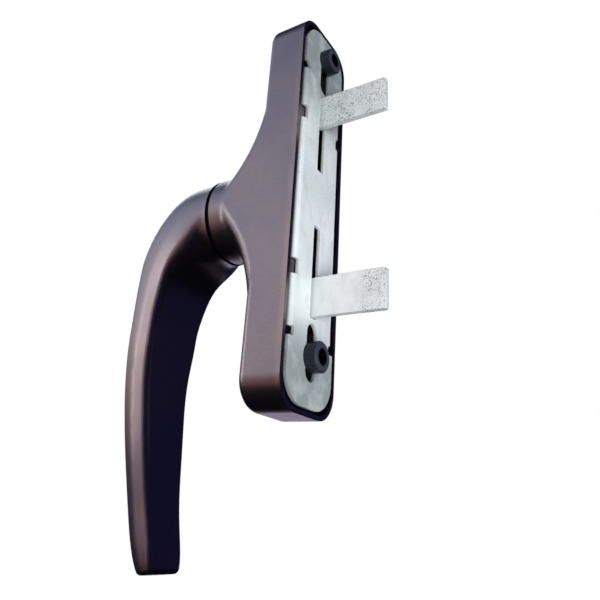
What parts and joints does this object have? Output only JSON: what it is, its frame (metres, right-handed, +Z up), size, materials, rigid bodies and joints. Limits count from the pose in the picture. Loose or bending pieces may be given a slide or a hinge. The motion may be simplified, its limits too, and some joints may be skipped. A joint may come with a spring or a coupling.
{
  "type": "window handle",
  "caption": "Window handle: the turning lever drives a pinion and racks inside a cast housing, so that the prongs at its back slide towards each other.",
  "frame": {"origin": "on the lever's turning axis, at the outer face of the back plate, the face that lies on the window", "axes": "+Y out of the back plate into the window and along the prongs, +Z up along the housing, X across it"},
  "size_m": [0.0286, 0.0881, 0.1693],
  "materials": {
    "bronzed_casting": "brushed dark bronze under clear lacquer",
    "zinc_plated_steel": "zinc plated, pale and faintly mottled",
    "black_oxide_steel": "black oxide, oiled",
    "sintered_steel": "sintered, matt grey",
    "spring_steel": "blued spring steel",
    "acetal": "natural acetal",
    "black_nylon": "black glass-filled nylon"
  },
  "bodies": {
    "base": {"housing": "bronzed_casting", "back_plate": "zinc_plated_steel", "neck_bush": "acetal", "joint_ring": "black_nylon", "thrust_washer": "acetal", "pinion_spacer": "acetal", "upper_guide": "black_nylon", "lower_guide": "black_nylon", "upper_screw": "black_oxide_steel", "lower_screw": "black_oxide_steel", "upper_nut": "zinc_plated_steel", "lower_nut": "zinc_plated_steel"},
    "handle": {"lever": "bronzed_casting", "spindle": "zinc_plated_steel", "lever_pin": "spring_steel", "pinion": "sintered_steel", "disc_spring": "spring_steel", "circlip": "spring_steel"},
    "upper_slide": {"upper_slide": "zinc_plated_steel"},
    "lower_slide": {"lower_slide": "zinc_plated_steel"}
  },
  "joints": [
    {"name": "lever_turn", "type": "hinge", "parent": "base", "child": "handle", "pos_m": [0, 0, 0], "axis": [0, 1, 0], "range_deg": [0, 180]},
    {"name": "upper_slide_travel", "type": "slide", "parent": "base", "child": "upper_slide", "axis": [0, 0, 1], "range_m": [-0.0158, 0]},
    {"name": "lower_slide_travel", "type": "slide", "parent": "base", "child": "lower_slide", "axis": [0, 0, 1], "range_m": [0, 0.0158]}
  ],
  "couplings": [
    {"joint": "upper_slide_travel", "follows": "lever_turn", "m_per_rad": -0.005},
    {"joint": "lower_slide_travel", "follows": "lever_turn", "m_per_rad": 0.005}
  ]
}
